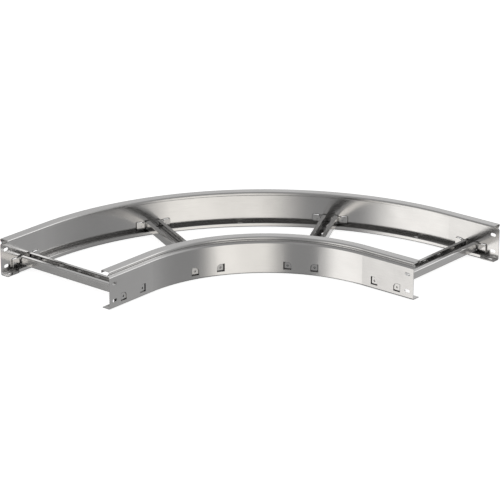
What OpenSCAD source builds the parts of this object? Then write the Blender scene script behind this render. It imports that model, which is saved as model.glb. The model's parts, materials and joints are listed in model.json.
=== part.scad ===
// Cable ladder bend: a flat quarter turn of cable ladder in stainless sheet.
// Two folded side rails carry four slotted rungs. Each rung end has two ears,
// and each ear lies flat between the web and a lug lanced from the rail.

/* [Bend] */

// Clear width between the webs of the two side rails
tray_width = 300; // [200:10:600]
// Height of the side rails
side_height = 80; // [72:1:110]
// Radius of the outside face of the inner rail
inner_radius = 300; // [280:10:600]
// Straight length at each end of the bend
end_length = 128; // [124:1:180]

/* [Side rails] */

// Sheet thickness of the side rails
rail_sheet = 1.5; // [1.2:0.1:2]
// Inside radius of every fold in the side rails
fold_radius = 1.5; // [1:0.1:2]
// Width of the top flange, measured from the outside of the web
top_flange = 22.5; // [14:0.5:28]
// Height of the lip turned down from the top flange
top_lip = 6.5; // [5:0.5:10]
// Width of the foot flange, measured from the outside of the web
foot_flange = 20; // [14:0.5:24]
// Height of the lip turned up from the foot flange
foot_lip = 8; // [5.5:0.5:8.5]
// Length at each end where the foot lip is cut away
lip_cutback = 33; // [26:1:40]
// Depth of the groove pressed along the web below the top flange
groove_depth = 5; // [3:0.5:6]
// Height of that groove from edge to edge
groove_height = 9.5; // [9:0.5:14]
// Distance from the end of the top fold to the upper edge of the groove
groove_drop = 1.5; // [1.5:0.5:4]

/* [Joining slots] */

// Length of the slots in the webs at each rail end
joint_slot_length = 13; // [9:0.5:18]
// Width of those slots
joint_slot_width = 7; // [5:0.5:9]
// Distance from the rail end to the middle of the slots
joint_slot_setback = 14.8; // [12:0.2:16]
// Height of the lower slot above the floor
lower_slot_height = 16; // [13:0.5:20]
// Height of the upper slot above the floor
upper_slot_height = 52; // [40:0.5:54]
// Length of the slots in the foot flanges
foot_slot_length = 12; // [8:0.5:16]
// Width of those slots
foot_slot_width = 5.5; // [4:0.5:6]
// Distance of the foot slots from the outside of the web
foot_slot_offset = 8.5; // [8:0.5:9]
// Angle from the middle of the bend to the side slots of the outer foot
foot_slot_angle = 37; // [28:0.5:40]

/* [Rungs] */

// Width of a rung across its walls
rung_width = 35; // [30:0.5:36]
// Height of a rung
rung_height = 18; // [17:0.5:22]
// Height of the underside of a rung above the floor
rung_lift = 9; // [8.5:0.5:11]
// Sheet thickness of the rungs
rung_sheet = 1.5; // [1.2:0.1:2]
// Inside radius of every fold in the rungs
rung_fold = 0.8; // [0.5:0.1:2]
// Width of the open slot along the top of a rung
rung_mouth = 17; // [12:0.5:20]
// Distance from the rail end to the middle of an end rung
end_rung_setback = 69; // [66:0.5:74]
// Angle from the middle of the bend to a middle rung
middle_rung_angle = 18.6; // [16:0.1:22]
// Distance between the slots in the base of a rung
base_slot_pitch = 50; // [30:1:100]
// Length of the slots in the base of a rung
base_slot_length = 12; // [8:0.5:20]
// Width of those slots
base_slot_width = 7; // [5:0.5:10]
// How far base and lips of a rung stop short of the folds of its ears
rung_setback = 0.8; // [0.2:0.1:3]

/* [Lugs] */

// Distance between the middles of the two lugs beside a rung
lug_spacing = 56.6; // [55:0.2:60]
// Width of the window that a lug leaves in the web
lug_width = 16.8; // [14:0.2:18]
// Height of that window
lug_height = 17.4; // [16:0.2:20]
// Height of the lower edge of the window above the floor
lug_lift = 8.6; // [7.6:0.1:10]
// Radius of the upper window corner on the side of the rung
lug_corner = 9; // [4:0.5:12]
// Diameter of the dimple that locks a lug into its ear
dimple_diameter = 4; // [2:0.2:6]
// Depth of that dimple
dimple_depth = 0.5; // [0.4:0.1:1]

/* [Fits] */

// Play on both faces of an ear, between the web and the lug
ear_play = 0.1; // [0.05:0.05:0.5]
// Play round the dimple in the hole of the ear
dimple_play = 0.4; // [0.1:0.05:0.5]
// How far an ear stays clear of the lower and outer window edges
ear_margin = 2; // [1:0.1:3]

/* [Hidden] */

$fn = 48;
outer_radius = inner_radius + tray_width + 2 * rail_sheet;
inner_wall = inner_radius + rail_sheet;
outer_wall = outer_radius - rail_sheet;
middle_radius = (inner_radius + outer_radius) / 2;
tray_middle = (outer_radius - end_length) / 2;
fold_steps = 4;
curve_steps = 360;
skin = 0.5;
pocket = rung_sheet + ear_play;
lug_near = (lug_spacing - lug_width) / 2;
lug_far = (lug_spacing + lug_width) / 2;
lug_top = lug_lift + lug_height;
lug_level = lug_lift + lug_height / 2;
ear_low = max(lug_lift + ear_margin, rung_lift + rung_fold + rung_sheet);
ear_high = min(lug_top, rung_lift + rung_height - rung_fold - rung_sheet);
ear_tip = lug_far - ear_margin;
inner_ear = inner_wall + ear_play;
outer_ear = outer_wall - sagitta(outer_wall, ear_tip) - ear_play;
channel_setback = rung_sheet + rung_fold + rung_setback;
groove_top = side_height - rail_sheet - fold_radius - groove_drop;
groove_low = groove_top - groove_height;
groove_middle = (groove_top + groove_low) / 2;
base_slot_total = 2 * floor((tray_width - 30) / (2 * base_slot_pitch) + 0.5);
cut = 200;

// Outside skin of a folded rail, from the top lip to the foot
skin_path = [
    [top_flange, side_height - top_lip],
    [top_flange, side_height],
    [0, side_height],
    [0, groove_top],
    [groove_depth, groove_middle],
    [0, groove_low],
    [0, 0],
    [foot_flange, 0],
];
lipped_path = concat(skin_path, [[foot_flange, foot_lip]]);

// Outside skin of a rung, from lip to lip
rung_top = rung_lift + rung_height;
rung_path = [
    [-rung_mouth / 2, rung_top],
    [-rung_width / 2, rung_top],
    [-rung_width / 2, rung_lift],
    [rung_width / 2, rung_lift],
    [rung_width / 2, rung_top],
    [rung_mouth / 2, rung_top],
];

// How far an arc falls away from its tangent at a distance along the tangent
function sagitta(radius, across) = radius - sqrt(pow(radius, 2) - pow(across, 2));

function unit(v) = v / norm(v);
function left_of(v) = [-v[1], v[0]];
function turn(a, b) = a[0] * b[1] - a[1] * b[0];

// Direction of one stretch of a path
function run(path, i) = unit(path[i + 1] - path[i]);

// Corner of the path moved by one sheet towards the inside of the fold
function inset(path, i, sheet) =
    i == 0 ? path[0] + left_of(run(path, 0)) * sheet :
    i == len(path) - 1 ? path[i] + left_of(run(path, i - 1)) * sheet :
    path[i] + unit(left_of(run(path, i - 1)) + left_of(run(path, i))) * sheet
        / sqrt((1 + run(path, i - 1) * run(path, i)) / 2);

// Points on a round of the given radius between two stretches that meet at b
function round_corner(a, b, c, radius) =
    let (back = unit(a - b))
    let (ahead = unit(c - b))
    let (half = acos(back * ahead) / 2)
    let (centre = b + unit(back + ahead) * radius / sin(half))
    let (first = b + back * radius / tan(half) - centre)
    let (start = atan2(first[1], first[0]))
    let (sweep = (180 - 2 * half) * sign(turn(b - a, c - b)))
    [for (k = [0 : fold_steps]) centre + radius * [cos(start + sweep * k / fold_steps),
                                                   sin(start + sweep * k / fold_steps)]];

// One skin of the fold; the outer skin of a left turn takes the larger radius
function rounded(path, shape, inner, sheet, radius) = [
    for (i = [0 : len(path) - 1])
    for (p = i == 0 || i == len(path) - 1 ? [shape[i]] :
        round_corner(shape[i - 1], shape[i], shape[i + 1],
            radius + ((turn(run(path, i - 1), run(path, i)) > 0) == inner ? 0 : sheet)))
    p];

function reversed(list) = [for (i = [len(list) - 1 : -1 : 0]) list[i]];

// Closed outline of a folded sheet that lies to the left of its outside skin
function folded(path, sheet, radius) =
    let (inside = [for (i = [0 : len(path) - 1]) inset(path, i, sheet)])
    concat(rounded(path, path, false, sheet, radius), reversed(rounded(path, inside, true, sheet, radius)));

// Rail outline set at its radius; side is 1 for the inner rail and -1 for the outer one
module rail_outline(path, radius, side) {
    polygon([for (p = folded(path, rail_sheet, fold_radius)) [radius + side * p[0], p[1]]]);
}

// Copies a feature to the other half of the bend
module both_halves() {
    children();
    mirror([1, -1, 0]) children();
}

// One folded rail without openings
module folded_rail(radius, side) {
    rotate_extrude(angle = 90, $fn = curve_steps) rail_outline(lipped_path, radius, side);
    both_halves() {
        rotate([90, 0, 0]) linear_extrude(end_length - lip_cutback) rail_outline(lipped_path, radius, side);
        translate([0, lip_cutback - end_length, 0])
            rotate([90, 0, 0]) linear_extrude(lip_cutback) rail_outline(skin_path, radius, side);
    }
}

// Oblong prism along z, long in y
module oblong(length, width, height) {
    translate([-width / 2, -(length - width) / 2, 0]) cube([width, length - width, height]);
    for (y = [-1, 1]) translate([0, y * (length - width) / 2, 0]) cylinder(d = width, h = height);
}

// The two web slots and the foot slot of a rail end
module end_slots(radius, side) {
    translate([radius, joint_slot_setback - end_length, 0]) {
        for (z = [lower_slot_height, upper_slot_height]) {
            translate([-4, 0, z]) rotate([0, 90, 0]) oblong(joint_slot_length, joint_slot_width, 8);
        }
        translate([side * foot_slot_offset, 0, -1])
            oblong(foot_slot_length, foot_slot_width, rail_sheet + 2);
    }
}

// Puts a feature drawn about the x axis onto the end rung or the middle rung of one half
module at_end_rung() {
    translate([0, end_rung_setback - end_length, 0]) children();
}

module at_middle_rung() {
    rotate([0, 0, 45 - middle_rung_angle]) children();
}

// Sheet that follows the rail between two distances from the bend centre
module follow(curved, from, to) {
    if (curved) {
        difference() {
            cylinder(r = to, h = cut, $fn = curve_steps);
            translate([0, 0, -1]) cylinder(r = from, h = cut + 2, $fn = curve_steps);
        }
    } else {
        translate([from, -cut, 0]) cube([to - from, 2 * cut, cut]);
    }
}

// The same sheet given as two depths behind a web; side is 1 towards larger radii
module behind(curved, wall, side, near, far) {
    follow(curved, wall + min(side * near, side * far), wall + max(side * near, side * far));
}

// Stands a face drawn in (across, z) up and carries it along x from one radius to another
module carried(from, to) {
    translate([from, 0, 0]) rotate([90, 0, 90]) linear_extrude(to - from) children();
}

module both_sides() {
    children();
    mirror([0, 1, 0]) children();
}

// Face of a lug or its window, with the round corner towards the rung
module lug_face(near, far) {
    difference() {
        translate([near, lug_lift]) square([far - near, lug_height]);
        difference() {
            translate([near - 1, lug_top - lug_corner]) square([lug_corner + 1, lug_corner + 1]);
            translate([near + lug_corner, lug_top - lug_corner]) circle(lug_corner);
        }
    }
}

// The two windows beside a rung
module lug_windows(radius) {
    both_sides() carried(radius - 8, radius + 8) lug_face(lug_near, lug_far);
}

// Middles of the two lugs beside a rung
module at_lugs(station) {
    for (way = [-1, 1]) translate([station, way * lug_spacing / 2, lug_level]) children();
}

// The two lugs beside a rung: flat plates square to the rung that hold its ears, with their legs
// to the web and their dimples
module lugs(curved, wall, ear, side) {
    front = ear + side * pocket;
    back = front + side * rail_sheet;
    difference() {
        union() {
            both_sides() carried(min(front, back), max(front, back))
                lug_face(lug_near + 1, lug_far + rail_sheet);
            intersection() {
                both_sides() carried(min(wall - side * 8, back), max(wall - side * 8, back))
                    translate([lug_far, lug_lift]) square([rail_sheet, lug_height]);
                behind(curved, wall, side, -skin, 20);
            }
            at_lugs(front + side * skin) rotate([0, -90 * side, 0])
                cylinder(d = dimple_diameter, h = skin + dimple_depth);
        }
        at_lugs(back + side * 2) rotate([0, -90 * side, 0])
            cylinder(d = dimple_diameter - 1, h = 2 + dimple_depth);
    }
}

// A complete side rail in the frame of the bend centre
module side_rail(radius, ear, side) {
    wall = radius + side * rail_sheet;
    difference() {
        folded_rail(radius, side);
        both_halves() {
            end_slots(radius, side);
            at_end_rung() lug_windows(radius);
            at_middle_rung() lug_windows(radius);
        }
    }
    both_halves() {
        at_end_rung() lugs(false, wall, ear, side);
        at_middle_rung() lugs(true, wall, ear, side);
    }
}

// Slots of the outer foot along the curve
module curve_foot_slots() {
    for (angle = [-foot_slot_angle, 0, foot_slot_angle]) {
        rotate([0, 0, 45 + angle]) translate([outer_radius - foot_slot_offset, 0, -1])
            oblong(foot_slot_length, foot_slot_width, rail_sheet + 2);
    }
}

// Open section of a rung, drawn in (across, z)
module rung_section() {
    polygon(folded(rung_path, rung_sheet, rung_fold));
}

// Channel of a rung between the setbacks
module rung_channel() {
    difference() {
        carried(inner_ear + channel_setback, outer_ear - channel_setback) rung_section();
        for (k = [0 : base_slot_total - 1]) {
            translate([middle_radius + (k - (base_slot_total - 1) / 2) * base_slot_pitch, 0, rung_lift - 1])
                rotate([0, 0, 90]) oblong(base_slot_length, base_slot_width, rung_sheet + 2);
        }
    }
}

// Strip of ear height on both sides of a rung, from its wall out to a given distance
module ear_strip(from, to, out) {
    both_sides() carried(from, to)
        translate([rung_width / 2 - rung_sheet, ear_low])
            square([out - rung_width / 2 + rung_sheet, ear_high - ear_low]);
}

// Places the folds between the walls of a rung and its ears; x runs into the tray and y outwards
module at_ear_folds() {
    for (end = [[inner_ear, 0], [outer_ear, 1]]) for (way = [0, 1]) {
        translate([end[0], 0, ear_low])
            mirror([0, way, 0]) mirror([end[1], 0, 0]) translate([0, rung_width / 2, 0]) children();
    }
}

// Fills the inside of an ear fold to its radius
module fold_fill() {
    linear_extrude(ear_high - ear_low) difference() {
        translate([rung_sheet - skin, -skin]) square(rung_fold + skin);
        translate([rung_sheet + rung_fold, rung_fold]) circle(rung_fold);
    }
}

// Takes the square corner off the outside of an ear fold
module fold_trim() {
    translate([0, 0, -1]) linear_extrude(ear_high - ear_low + 2) difference() {
        translate([-1, -rung_sheet - 1]) square(rung_sheet + rung_fold + 1);
        translate([rung_sheet + rung_fold, rung_fold]) circle(rung_sheet + rung_fold);
    }
}

// A rung: channel, walls drawn on to the ears, and ears turned out flat along the webs
module rung() {
    rung_channel();
    difference() {
        union() {
            at_ear_folds() fold_fill();
            ear_strip(inner_ear, outer_ear, rung_width / 2);
            ear_strip(inner_ear, inner_ear + rung_sheet, ear_tip);
            ear_strip(outer_ear - rung_sheet, outer_ear, ear_tip);
        }
        at_ear_folds() fold_trim();
        for (ear = [inner_ear, outer_ear]) {
            at_lugs(ear - 10) rotate([0, 90, 0])
                cylinder(d = dimple_diameter + 2 * dimple_play, h = 20);
        }
    }
}

// Moves the middle of the whole bend over the origin
module centred() {
    translate([-tray_middle, -tray_middle, 0]) children();
}

module inner_side_rail() {
    color([0.72, 0.72, 0.71]) centred() side_rail(inner_radius, inner_ear, 1);
}

module outer_side_rail() {
    color([0.72, 0.72, 0.71]) centred() difference() {
        side_rail(outer_radius, outer_ear, -1);
        curve_foot_slots();
    }
}

module right_end_rung() {
    color([0.66, 0.66, 0.65]) centred() at_end_rung() rung();
}

module right_middle_rung() {
    color([0.66, 0.66, 0.65]) centred() at_middle_rung() rung();
}

module left_middle_rung() {
    color([0.66, 0.66, 0.65]) centred() mirror([1, -1, 0]) at_middle_rung() rung();
}

module left_end_rung() {
    color([0.66, 0.66, 0.65]) centred() mirror([1, -1, 0]) at_end_rung() rung();
}

inner_side_rail();
outer_side_rail();
right_end_rung();
right_middle_rung();
left_middle_rung();
left_end_rung();
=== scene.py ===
import json
import math
import bpy
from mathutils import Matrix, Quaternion, Vector

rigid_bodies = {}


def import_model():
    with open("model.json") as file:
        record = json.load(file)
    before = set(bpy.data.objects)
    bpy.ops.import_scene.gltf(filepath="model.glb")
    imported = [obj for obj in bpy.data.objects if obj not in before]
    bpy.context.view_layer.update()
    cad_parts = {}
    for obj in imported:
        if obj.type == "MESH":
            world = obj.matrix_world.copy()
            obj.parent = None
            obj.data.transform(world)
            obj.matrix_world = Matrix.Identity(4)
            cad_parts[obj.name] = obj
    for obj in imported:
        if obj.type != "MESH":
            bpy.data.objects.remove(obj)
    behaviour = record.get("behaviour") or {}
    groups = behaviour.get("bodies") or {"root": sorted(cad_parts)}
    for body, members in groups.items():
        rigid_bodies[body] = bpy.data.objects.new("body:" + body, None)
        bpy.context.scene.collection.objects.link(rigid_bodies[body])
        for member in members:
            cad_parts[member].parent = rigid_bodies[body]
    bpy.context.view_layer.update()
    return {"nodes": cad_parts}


for old in list(bpy.data.objects):
    bpy.data.objects.remove(old)
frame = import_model()
scene = bpy.context.scene
scene.view_settings.view_transform = "Standard"
print("frame loaded:", len(frame["nodes"]), "nodes")

# node settings used in several places
inColour = {"data_type": "RGBA"}
smoothStep = {"interpolation_type": "SMOOTHSTEP"}


# sRGB hex to the linear numbers that sockets take
def linearColour(hexText):
    parts = [int(hexText[i:i + 2], 16) / 255 for i in (1, 3, 5)]
    return [c / 12.92 if c <= 0.04045 else ((c + 0.055) / 1.055) ** 2.4 for c in parts] + [1.0]


# light of one level in all three colours
def greyLight(level):
    return (level, level, level, 1.0)


# unit vector to a heading, in degrees from +X, and an elevation
def towards(heading, elevation):
    turn = math.radians(heading)
    rise = math.radians(elevation)
    return Vector((math.cos(rise) * math.cos(turn), math.cos(rise) * math.sin(turn), math.sin(rise)))


# adds one node: settings are its properties, links its inputs (a number, a colour or another node's
# output), named as the socket is, or i and the socket's number where several share a name
def addNode(tree, kind, settings=None, **links):
    node = tree.nodes.new(kind)
    for key, value in (settings or {}).items():
        setattr(node, key, value)
    for key, value in links.items():
        numbered = key[0] == "i" and key[1:].isdigit()
        socket = node.inputs[int(key[1:])] if numbered else node.inputs[key.replace("_", " ")]
        if isinstance(value, bpy.types.NodeSocket):
            tree.links.new(value, socket)
        else:
            socket.default_value = value
    return node


# camera: fitted to the outlines of both rails in the photo
cameraSet = {
    "aim": (-0.0310, -0.0199, 0.0515),  # metres, like every length here without a unit
    "heading": 219.554,     # degrees from +X, the side the camera stands on
    "elevation": 20.222,
    "distance": 5.192,
    "lens": 182.50,         # mm
    "sensor": 36.0,         # mm
    "roll": 0.163,          # degrees, right side of the picture up
    "clipEnd": 60.0,
}


def placeCamera(setup):
    aim = Vector(setup["aim"])
    eye = aim + towards(setup["heading"], setup["elevation"]) * setup["distance"]
    data = bpy.data.cameras.new("camera")
    data.lens = setup["lens"]
    data.sensor_width = setup["sensor"]
    data.clip_end = setup["clipEnd"]
    camera = bpy.data.objects.new("camera", data)
    camera.location = eye
    level = (aim - eye).to_track_quat("-Z", "Y")
    camera.rotation_euler = (level @ Quaternion((0, 0, 1), math.radians(setup["roll"]))).to_euler()
    scene.collection.objects.link(camera)
    scene.camera = camera


placeCamera(cameraSet)
print("camera placed")

# stainless steel, cold-rolled: mirrors the studio with a slight haze that wanders over the sheet
steelSet = {
    "tone": "#e6e5e4",
    "shade": "#dedddc",         # the same steel where the haze is thick
    "roughness": (0.125, 0.205),    # where the haze is thin and where it is thick
    "grainWidth": 0.0012,       # metres across a band of rolling lines
    "grainLength": 0.060,       # and along it
    "grainDetail": 4.0,         # how often the lines are laid again, each time half as wide
    "grainFade": 0.65,          # and how strong to the time before
    "cloud": 0.060,             # metres, size of the hazy patches
    "cloudDetail": 3.0,
    "cloudFade": 0.55,
    "hazeLines": 0.5,           # share of the lines in the haze, the rest is cloud
    "hazeRange": (0.32, 0.68),  # noise values where the haze starts and where it is thick
    "relief": 0.000004,         # metres, depth of the rolling lines
    "reliefStrength": 0.35,
    "paintedGapShade": "#3f3f3f",       # painted shade: the steel's colour deep in a narrow gap
    "gapReach": 0.0050,         # metres within which another sheet shades it
    "gapOpen": (0.35, 0.90),    # open share of the view where the gap tone ends and the plain tone starts
    "gapSamples": 8,
    "bendCentre": (-0.2375, -0.2375, 0.0),  # centre of the arcs of both rails
}


# sheet directions: rails run round the bend centre, so distance from it and height lie across the
# grain and x minus y runs along it; a rung's grain runs along its own heading
def sheetAxes(tree, place, setup, heading):
    fromCentre = addNode(tree, "ShaderNodeVectorMath", {"operation": "SUBTRACT"},
                         i0=place, i1=setup["bendCentre"])
    if heading is not None:
        turned = addNode(tree, "ShaderNodeVectorRotate", {"rotation_type": "Z_AXIS"},
                         Vector=fromCentre.outputs[0], Angle=-math.radians(heading))
        axes = addNode(tree, "ShaderNodeSeparateXYZ", None, Vector=turned.outputs[0])
        return axes.outputs["Y"], axes.outputs["Z"], axes.outputs["X"]
    # nothing below zero, so that on the straight ends the distance is square to the rail
    ahead = addNode(tree, "ShaderNodeVectorMath", {"operation": "MAXIMUM"},
                    i0=fromCentre.outputs[0], i1=(0.0, 0.0, 0.0))
    flat = addNode(tree, "ShaderNodeVectorMath", {"operation": "MULTIPLY"},
                   i0=ahead.outputs[0], i1=(1.0, 1.0, 0.0))
    reach = addNode(tree, "ShaderNodeVectorMath", {"operation": "LENGTH"}, i0=flat.outputs[0])
    axes = addNode(tree, "ShaderNodeSeparateXYZ", None, Vector=fromCentre.outputs[0])
    along = addNode(tree, "ShaderNodeMath", {"operation": "SUBTRACT"},
                    i0=axes.outputs["X"], i1=axes.outputs["Y"])
    return reach.outputs["Value"], axes.outputs["Z"], along.outputs[0]


def stainlessSteel(name, setup, heading=None):
    material = bpy.data.materials.new(name)
    material.use_nodes = True
    tree = material.node_tree
    shader = tree.nodes["Principled BSDF"]
    shader.inputs["Metallic"].default_value = 1.0
    place = addNode(tree, "ShaderNodeTexCoord").outputs["Object"]
    across, up, along = sheetAxes(tree, place, setup, heading)
    fine = 1 / setup["grainWidth"]
    sheet = addNode(tree, "ShaderNodeCombineXYZ", None, X=across, Y=up, Z=along)
    lines = addNode(tree, "ShaderNodeVectorMath", {"operation": "MULTIPLY"},
                    i0=sheet.outputs[0], i1=(fine, fine, 1 / setup["grainLength"]))
    grain = addNode(tree, "ShaderNodeTexNoise", None, Vector=lines.outputs[0], Scale=1.0,
                    Detail=setup["grainDetail"], Roughness=setup["grainFade"])
    cloud = addNode(tree, "ShaderNodeTexNoise", None, Vector=place, Scale=1 / setup["cloud"],
                    Detail=setup["cloudDetail"], Roughness=setup["cloudFade"])
    # haze: cloudy patches and rolling lines
    mixed = addNode(tree, "ShaderNodeMix", None,
                    i0=setup["hazeLines"], i2=cloud.outputs[0], i3=grain.outputs[0])
    haze = addNode(tree, "ShaderNodeMapRange", None, Value=mixed.outputs[0],
                   From_Min=setup["hazeRange"][0], From_Max=setup["hazeRange"][1])
    rough = addNode(tree, "ShaderNodeMapRange", None, Value=haze.outputs[0],
                    To_Min=setup["roughness"][0], To_Max=setup["roughness"][1])
    tone = addNode(tree, "ShaderNodeMix", inColour, i0=haze.outputs[0],
                   i6=linearColour(setup["tone"]), i7=linearColour(setup["shade"]))
    # painted shade: the base colour darkens where sheets lie close together, so lug gaps and folds are
    # painted dark and open faces are not
    near = addNode(tree, "ShaderNodeAmbientOcclusion", {"samples": setup["gapSamples"]},
                   Distance=setup["gapReach"])
    clear = addNode(tree, "ShaderNodeMapRange", smoothStep, Value=near.outputs["AO"],
                    From_Min=setup["gapOpen"][0], From_Max=setup["gapOpen"][1])
    # painted shade: the base colour is mixed towards the gap shade where other sheets are near
    paintedShadeMix = addNode(tree, "ShaderNodeMix", inColour, i0=clear.outputs[0],
                     i6=linearColour(setup["paintedGapShade"]), i7=tone.outputs[2])
    relief = addNode(tree, "ShaderNodeBump", None, Strength=setup["reliefStrength"],
                     Distance=setup["relief"], Height=grain.outputs[0])
    tree.links.new(paintedShadeMix.outputs[2], shader.inputs["Base Color"])
    tree.links.new(rough.outputs[0], shader.inputs["Roughness"])
    tree.links.new(relief.outputs[0], shader.inputs["Normal"])
    return material


# heading of each rung's length, in degrees from +X; the rails follow the bend
rungHeadings = {
    "right_end_rung": 0.0,
    "right_middle_rung": 26.4,
    "left_middle_rung": 63.6,
    "left_end_rung": 90.0,
}
railSteel = stainlessSteel("stainless steel, rail sheet", steelSet)
for name, node in frame["nodes"].items():
    steel = railSteel
    if name in rungHeadings:
        steel = stainlessSteel("stainless steel, " + name.replace("_", " "), steelSet, rungHeadings[name])
    node.data.materials.clear()
    node.data.materials.append(steel)
print("steel on", len(frame["nodes"]), "nodes")

# studio: a white room with grey flags between soft panels; mirror rays see the flags and panels
studioSet = {
    "flag": 0.27,
    # turns in degrees from the camera's heading where a panel starts, is full, starts to fade and is gone
    "panels": [
        {"name": "right", "turns": (-82, -75, -55, -35), "level": 1.16, "tone": "#fffdfa"},
        {"name": "front", "turns": (-18, 4, 34, 56), "level": 0.97, "tone": "#fffcf7"},
        {"name": "front heart", "turns": (16, 28, 32, 46), "level": 1.06, "tone": "#fffcf7"},
        {"name": "left", "turns": (70, 150, 165, 180), "level": 0.68, "tone": "#ffffff"},
    ],
    "cameraHeading": 220.0,
    # overhead cloth, lighter towards one side: its levels, and the cosine to that side where it is dim
    "skyDim": 0.32,
    "skyBright": 0.75,
    "skyHeading": 350.0,
    "skyEdge": 0.15,
    # sines of the elevations where the cloth starts to cover the walls and where it is all there is
    "skyFrom": -0.25,
    "skyFull": 0.2,
    # one soft box in the cloth: where it hangs, and half widths of its heart and its edge, in degrees
    "softBox": {"heading": 319.0, "elevation": 20.0, "heart": 4.0, "edge": 18.0, "level": 1.40},
    # dark ground under the part, and the sines of the angles below level where it starts and is full
    "ground": 0.32,
    "groundFrom": 0.6,
    "groundFull": 0.95,
    "fadeDepths": (4.0, 5.0),   # ray depth, one more than the bounces, before and after light is lost
    "kept": 0.40,               # share of the light that comes out after more than three bounces
    "ambient": 0.45,            # plain light on all that is no mirror
}


# soft-edged strip: rises from turns[0] to turns[1] and falls from turns[2] to turns[3]
def softStrip(tree, turn, turns):
    edges = [math.radians(t) for t in turns]
    rise = addNode(tree, "ShaderNodeMapRange", smoothStep, Value=turn, From_Min=edges[0], From_Max=edges[1])
    fall = addNode(tree, "ShaderNodeMapRange", smoothStep, Value=turn, From_Min=edges[3], From_Max=edges[2])
    strip = addNode(tree, "ShaderNodeMath", {"operation": "MULTIPLY"},
                    i0=rise.outputs[0], i1=fall.outputs[0])
    return strip.outputs[0]


# walls: grey flags, with each panel laid over what came before it
def panelWalls(tree, turn, setup):
    walls = greyLight(setup["flag"])
    for panel in setup["panels"]:
        light = [c * panel["level"] for c in linearColour(panel["tone"])[:3]] + [1.0]
        laid = addNode(tree, "ShaderNodeMix", {"label": panel["name"] + " panel", **inColour},
                       i0=softStrip(tree, turn, panel["turns"]), i6=walls, i7=light)
        walls = laid.outputs[2]
    return walls


# overhead cloth: brightens with the cosine to its light side, and holds the soft box
def overheadCloth(tree, direction, setup):
    facing = addNode(tree, "ShaderNodeVectorMath", {"operation": "DOT_PRODUCT"},
                     i0=direction, i1=towards(setup["skyHeading"], 0.0))
    cloth = addNode(tree, "ShaderNodeMapRange", smoothStep, Value=facing.outputs["Value"],
                    From_Min=setup["skyEdge"], From_Max=1.0,
                    To_Min=setup["skyDim"], To_Max=setup["skyBright"])
    box = setup["softBox"]
    near = addNode(tree, "ShaderNodeVectorMath", {"operation": "DOT_PRODUCT"},
                   i0=direction, i1=towards(box["heading"], box["elevation"]))
    boxed = addNode(tree, "ShaderNodeMapRange", smoothStep, Value=near.outputs["Value"],
                    From_Min=math.cos(math.radians(box["edge"])),
                    From_Max=math.cos(math.radians(box["heart"])))
    both = addNode(tree, "ShaderNodeMix", inColour, i0=boxed.outputs[0],
                   i6=cloth.outputs[0], i7=greyLight(box["level"]))
    return both.outputs[2]


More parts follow.
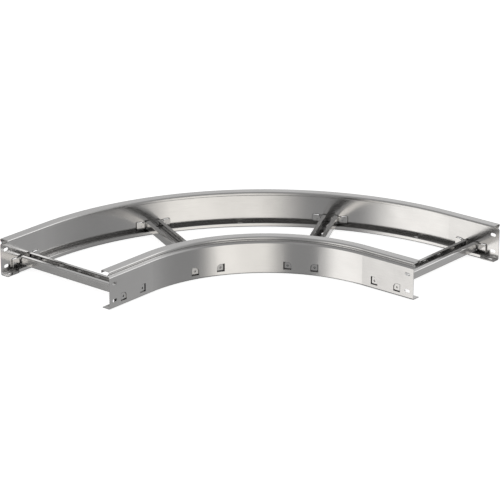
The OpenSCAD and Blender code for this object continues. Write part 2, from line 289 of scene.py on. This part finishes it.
def buildStudio(setup):
    world = bpy.data.worlds.new("studio")
    scene.world = world
    world.use_nodes = True
    tree = world.node_tree
    tree.nodes.clear()
    direction = addNode(tree, "ShaderNodeTexCoord").outputs["Generated"]
    turned = addNode(tree, "ShaderNodeVectorRotate", {"rotation_type": "Z_AXIS"},
                     Vector=direction, Angle=-math.radians(setup["cameraHeading"]))
    axes = addNode(tree, "ShaderNodeSeparateXYZ", None, Vector=turned.outputs[0])
    turn = addNode(tree, "ShaderNodeMath", {"operation": "ARCTAN2"},
                   i0=axes.outputs["Y"], i1=axes.outputs["X"])
    over = addNode(tree, "ShaderNodeMapRange", smoothStep, Value=axes.outputs["Z"],
                   From_Min=setup["skyFrom"], From_Max=setup["skyFull"])
    under = addNode(tree, "ShaderNodeMapRange", smoothStep, Value=axes.outputs["Z"],
                    From_Min=-setup["groundFrom"], From_Max=-setup["groundFull"])
    above = addNode(tree, "ShaderNodeMix", inColour, i0=over.outputs[0],
                    i6=panelWalls(tree, turn.outputs[0], setup), i7=overheadCloth(tree, direction, setup))
    room = addNode(tree, "ShaderNodeMix", inColour, i0=under.outputs[0],
                   i6=above.outputs[2], i7=greyLight(setup["ground"]))
    # light that goes to and fro between two sheets is lost there, so folds and window gaps stay dark
    ray = addNode(tree, "ShaderNodeLightPath")
    fade = addNode(tree, "ShaderNodeMapRange", None, Value=ray.outputs["Ray Depth"],
                   From_Min=setup["fadeDepths"][0], From_Max=setup["fadeDepths"][1],
                   To_Min=1.0, To_Max=setup["kept"])
    faded = addNode(tree, "ShaderNodeMix", inColour, i0=fade.outputs[0],
                    i6=greyLight(0.0), i7=room.outputs[2])
    # mirrors see the room, the camera sees white, and the rest gets plain light
    mirrored = addNode(tree, "ShaderNodeMath", {"operation": "MAXIMUM"},
                       i0=ray.outputs["Is Glossy Ray"], i1=ray.outputs["Is Transmission Ray"])
    lit = addNode(tree, "ShaderNodeMix", inColour, i0=mirrored.outputs[0],
                  i6=greyLight(setup["ambient"]), i7=faded.outputs[2])
    shown = addNode(tree, "ShaderNodeMix", inColour, i0=ray.outputs["Is Camera Ray"],
                    i6=lit.outputs[2], i7=greyLight(1.0))
    glow = addNode(tree, "ShaderNodeBackground", None, Color=shown.outputs[2])
    addNode(tree, "ShaderNodeOutputWorld", None, Surface=glow.outputs[0])


buildStudio(studioSet)

# floor: pale paper, white to the camera, and it keeps the soft shadow
floorSet = {
    "half": 8.0,
    "drop": 0.0004,         # metres below the feet, so that the two faces never share a place
    "tone": "#e6e6e6",
    "glow": 0.78,           # added for the camera alone
}


def layFloor(setup):
    half = setup["half"]
    corners = [(-half, -half, 0), (half, -half, 0), (half, half, 0), (-half, half, 0)]
    mesh = bpy.data.meshes.new("floor")
    mesh.from_pydata(corners, [], [(0, 1, 2, 3)])
    floor = bpy.data.objects.new("floor", mesh)
    floor.location.z = -setup["drop"]
    scene.collection.objects.link(floor)
    floor.visible_glossy = False     # the steel mirrors the panels, as in the photo
    material = bpy.data.materials.new("paper, matt white")
    material.use_nodes = True
    tree = material.node_tree
    tree.nodes.clear()
    ray = addNode(tree, "ShaderNodeLightPath")
    paper = addNode(tree, "ShaderNodeBsdfDiffuse", None, Color=linearColour(setup["tone"]))
    strength = addNode(tree, "ShaderNodeMath", {"operation": "MULTIPLY"},
                       i0=ray.outputs["Is Camera Ray"], i1=setup["glow"])
    glow = addNode(tree, "ShaderNodeEmission", None, Strength=strength.outputs[0])
    both = addNode(tree, "ShaderNodeAddShader", None, i0=paper.outputs[0], i1=glow.outputs[0])
    addNode(tree, "ShaderNodeOutputMaterial", None, Surface=both.outputs[0])
    mesh.materials.append(material)


layFloor(floorSet)
print("studio and floor ready")
